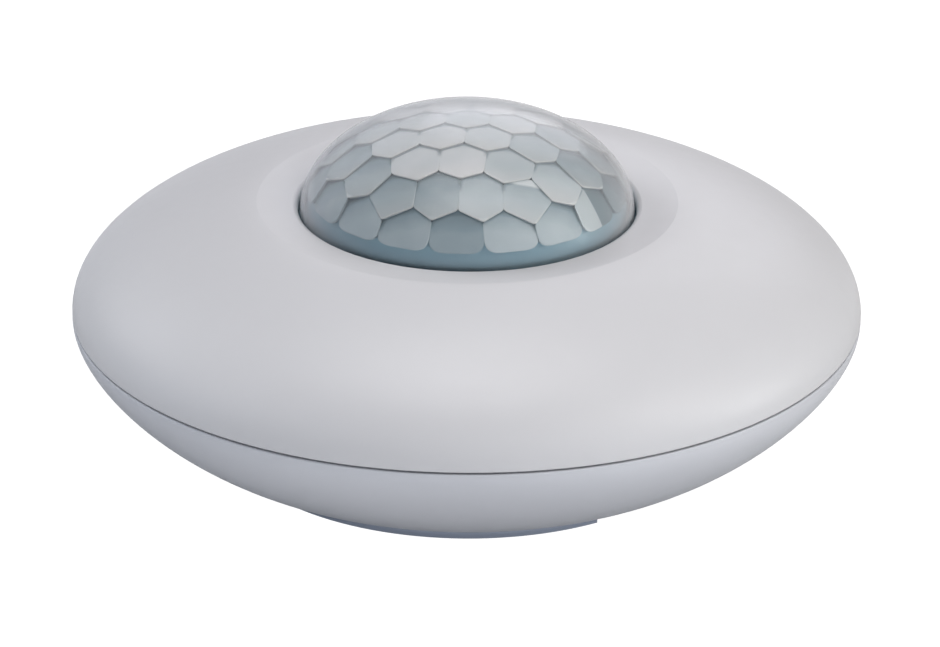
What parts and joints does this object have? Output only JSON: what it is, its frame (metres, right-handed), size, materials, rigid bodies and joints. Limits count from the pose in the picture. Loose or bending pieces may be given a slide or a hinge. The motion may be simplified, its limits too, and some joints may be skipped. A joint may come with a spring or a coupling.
{
  "type": "motion sensor",
  "caption": "Round saucer-shaped ceiling motion sensor: faceted dome lens, two-part snap housing and a bayonet mounting plate.",
  "frame": {"origin": "centre of the mounting plate's flat back, the face that lies on the ceiling", "axes": "+Z from the ceiling into the room, through the lens; +X along the two mounting screw slots"},
  "size_m": [0.12, 0.12, 0.0527],
  "materials": {
    "cover_plastic": "satin moulded ABS, off-white",
    "rear_plastic": "satin moulded ABS, off-white",
    "plate_plastic": "fine matte moulded ABS",
    "lens_plastic": "milky moulded polyethylene, smooth outside, faceted inside",
    "seal_rubber": "soft moulded rubber",
    "board_laminate": "green solder mask over glass laminate",
    "screw_steel": "zinc-plated steel",
    "terminal_plastic": "green moulded polyamide",
    "contact_brass": "tinned brass",
    "relay_plastic": "white moulded case",
    "trimmer_plastic": "blue moulded case",
    "dial_plastic": "ivory nylon",
    "switch_plastic": "red moulded case",
    "slider_plastic": "white nylon",
    "capacitor_sleeve": "black shrink sleeve with an aluminium top",
    "chip_plastic": "black epoxy with tinned legs",
    "chip_ceramic": "ceramic chips with tinned ends",
    "header_plastic": "black moulded strip",
    "pin_metal": "gold-flashed pins",
    "spacer_nylon": "natural nylon",
    "sensor_can": "nickel-plated can",
    "window_filter": "dark silicon filter",
    "light_lens": "tinted clear epoxy",
    "clip_steel": "spring steel strip",
    "gasket_foam": "closed-cell foam",
    "retainer_plastic": "moulded ABS"
  },
  "bodies": {
    "mount": {"mounting_plate": "plate_plastic"},
    "base": {"rear_shell": "rear_plastic", "cable_seal": "seal_rubber", "main_board": "board_laminate", "board_screws": "screw_steel", "terminal_block": "terminal_plastic", "terminal_contacts": "contact_brass", "relay": "relay_plastic", "range_trimmer": "trimmer_plastic", "pulse_trimmer": "trimmer_plastic", "switch_block": "switch_plastic", "large_capacitor": "capacitor_sleeve", "small_capacitor": "capacitor_sleeve", "controller_chip": "chip_plastic", "chip_components": "chip_ceramic", "tamper_switch": "header_plastic", "tamper_spring": "clip_steel", "link_header": "header_plastic", "link_pins": "pin_metal", "board_spacers": "spacer_nylon", "sensor_board": "board_laminate", "spacer_screws": "screw_steel", "heat_sensor": "sensor_can", "sensor_window": "window_filter", "sensor_leads": "pin_metal", "status_light": "light_lens", "cover_clips": "clip_steel", "clip_rivets": "screw_steel"},
    "cover": {"front_cover": "cover_plastic", "lens": "lens_plastic", "lens_gasket": "gasket_foam", "lens_retainer": "retainer_plastic", "retainer_screws": "screw_steel"},
    "tamper_plunger": {"tamper_plunger": "slider_plastic"},
    "range_dial": {"range_dial": "dial_plastic"},
    "pulse_dial": {"pulse_dial": "dial_plastic"},
    "switch_slider_1": {"switch_slider_1": "slider_plastic"},
    "switch_slider_2": {"switch_slider_2": "slider_plastic"},
    "switch_slider_3": {"switch_slider_3": "slider_plastic"},
    "switch_slider_4": {"switch_slider_4": "slider_plastic"},
    "terminal_screw_1": {"terminal_screw_1": "screw_steel"},
    "terminal_cage_1": {"terminal_cage_1": "contact_brass"},
    "terminal_screw_2": {"terminal_screw_2": "screw_steel"},
    "terminal_cage_2": {"terminal_cage_2": "contact_brass"},
    "terminal_screw_3": {"terminal_screw_3": "screw_steel"},
    "terminal_cage_3": {"terminal_cage_3": "contact_brass"},
    "terminal_screw_4": {"terminal_screw_4": "screw_steel"},
    "terminal_cage_4": {"terminal_cage_4": "contact_brass"},
    "terminal_screw_5": {"terminal_screw_5": "screw_steel"},
    "terminal_cage_5": {"terminal_cage_5": "contact_brass"},
    "terminal_screw_6": {"terminal_screw_6": "screw_steel"},
    "terminal_cage_6": {"terminal_cage_6": "contact_brass"}
  },
  "joints": [
    {"name": "bayonet_twist", "type": "hinge", "parent": "mount", "child": "base", "pos_m": [0, 0, 0.0052], "axis": [0, 0, 1], "range_deg": [0, 20]},
    {"name": "cover_lift", "type": "slide", "parent": "base", "child": "cover", "axis": [0, 0, 1], "range_m": [0, 0.032], "deforming": ["cover_clips"]},
    {"name": "tamper_press", "type": "slide", "parent": "base", "child": "tamper_plunger", "axis": [0, 0, 1], "range_m": [0, 0.0012], "deforming": ["tamper_spring"]},
    {"name": "range_turn", "type": "hinge", "parent": "base", "child": "range_dial", "pos_m": [0.036, 0.007, 0.0178], "axis": [0, 0, 1], "range_deg": [-135, 135]},
    {"name": "pulse_turn", "type": "hinge", "parent": "base", "child": "pulse_dial", "pos_m": [0.036, -0.004, 0.0178], "axis": [0, 0, 1], "range_deg": [-135, 135]},
    {"name": "switch_1_slide", "type": "slide", "parent": "base", "child": "switch_slider_1", "axis": [1, 0, 0], "range_m": [0, 0.0018]},
    {"name": "switch_2_slide", "type": "slide", "parent": "base", "child": "switch_slider_2", "axis": [1, 0, 0], "range_m": [0, 0.0018]},
    {"name": "switch_3_slide", "type": "slide", "parent": "base", "child": "switch_slider_3", "axis": [1, 0, 0], "range_m": [0, 0.0018]},
    {"name": "switch_4_slide", "type": "slide", "parent": "base", "child": "switch_slider_4", "axis": [1, 0, 0], "range_m": [0, 0.0018]},
    {"name": "terminal_1_turn", "type": "hinge", "parent": "base", "child": "terminal_screw_1", "pos_m": [-0.0125, -0.034, 0.02], "axis": [0, 0, 1], "range_deg": [0, 1008]},
    {"name": "terminal_1_clamp", "type": "slide", "parent": "base", "child": "terminal_cage_1", "axis": [0, 0, 1], "range_m": [0, 0.0014]},
    {"name": "terminal_2_turn", "type": "hinge", "parent": "base", "child": "terminal_screw_2", "pos_m": [-0.0075, -0.034, 0.02], "axis": [0, 0, 1], "range_deg": [0, 1008]},
    {"name": "terminal_2_clamp", "type": "slide", "parent": "base", "child": "terminal_cage_2", "axis": [0, 0, 1], "range_m": [0, 0.0014]},
    {"name": "terminal_3_turn", "type": "hinge", "parent": "base", "child": "terminal_screw_3", "pos_m": [-0.0025, -0.034, 0.02], "axis": [0, 0, 1], "range_deg": [0, 1008]},
    {"name": "terminal_3_clamp", "type": "slide", "parent": "base", "child": "terminal_cage_3", "axis": [0, 0, 1], "range_m": [0, 0.0014]},
    {"name": "terminal_4_turn", "type": "hinge", "parent": "base", "child": "terminal_screw_4", "pos_m": [0.0025, -0.034, 0.02], "axis": [0, 0, 1], "range_deg": [0, 1008]},
    {"name": "terminal_4_clamp", "type": "slide", "parent": "base", "child": "terminal_cage_4", "axis": [0, 0, 1], "range_m": [0, 0.0014]},
    {"name": "terminal_5_turn", "type": "hinge", "parent": "base", "child": "terminal_screw_5", "pos_m": [0.0075, -0.034, 0.02], "axis": [0, 0, 1], "range_deg": [0, 1008]},
    {"name": "terminal_5_clamp", "type": "slide", "parent": "base", "child": "terminal_cage_5", "axis": [0, 0, 1], "range_m": [0, 0.0014]},
    {"name": "terminal_6_turn", "type": "hinge", "parent": "base", "child": "terminal_screw_6", "pos_m": [0.0125, -0.034, 0.02], "axis": [0, 0, 1], "range_deg": [0, 1008]},
    {"name": "terminal_6_clamp", "type": "slide", "parent": "base", "child": "terminal_cage_6", "axis": [0, 0, 1], "range_m": [0, 0.0014]}
  ],
  "couplings": [
    {"joint": "tamper_press", "follows": "cover_lift", "ratio": 0.0375},
    {"joint": "terminal_1_turn", "follows": "terminal_1_clamp", "rad_per_m": 12566},
    {"joint": "terminal_2_turn", "follows": "terminal_2_clamp", "rad_per_m": 12566},
    {"joint": "terminal_3_turn", "follows": "terminal_3_clamp", "rad_per_m": 12566},
    {"joint": "terminal_4_turn", "follows": "terminal_4_clamp", "rad_per_m": 12566},
    {"joint": "terminal_5_turn", "follows": "terminal_5_clamp", "rad_per_m": 12566},
    {"joint": "terminal_6_turn", "follows": "terminal_6_clamp", "rad_per_m": 12566}
  ]
}
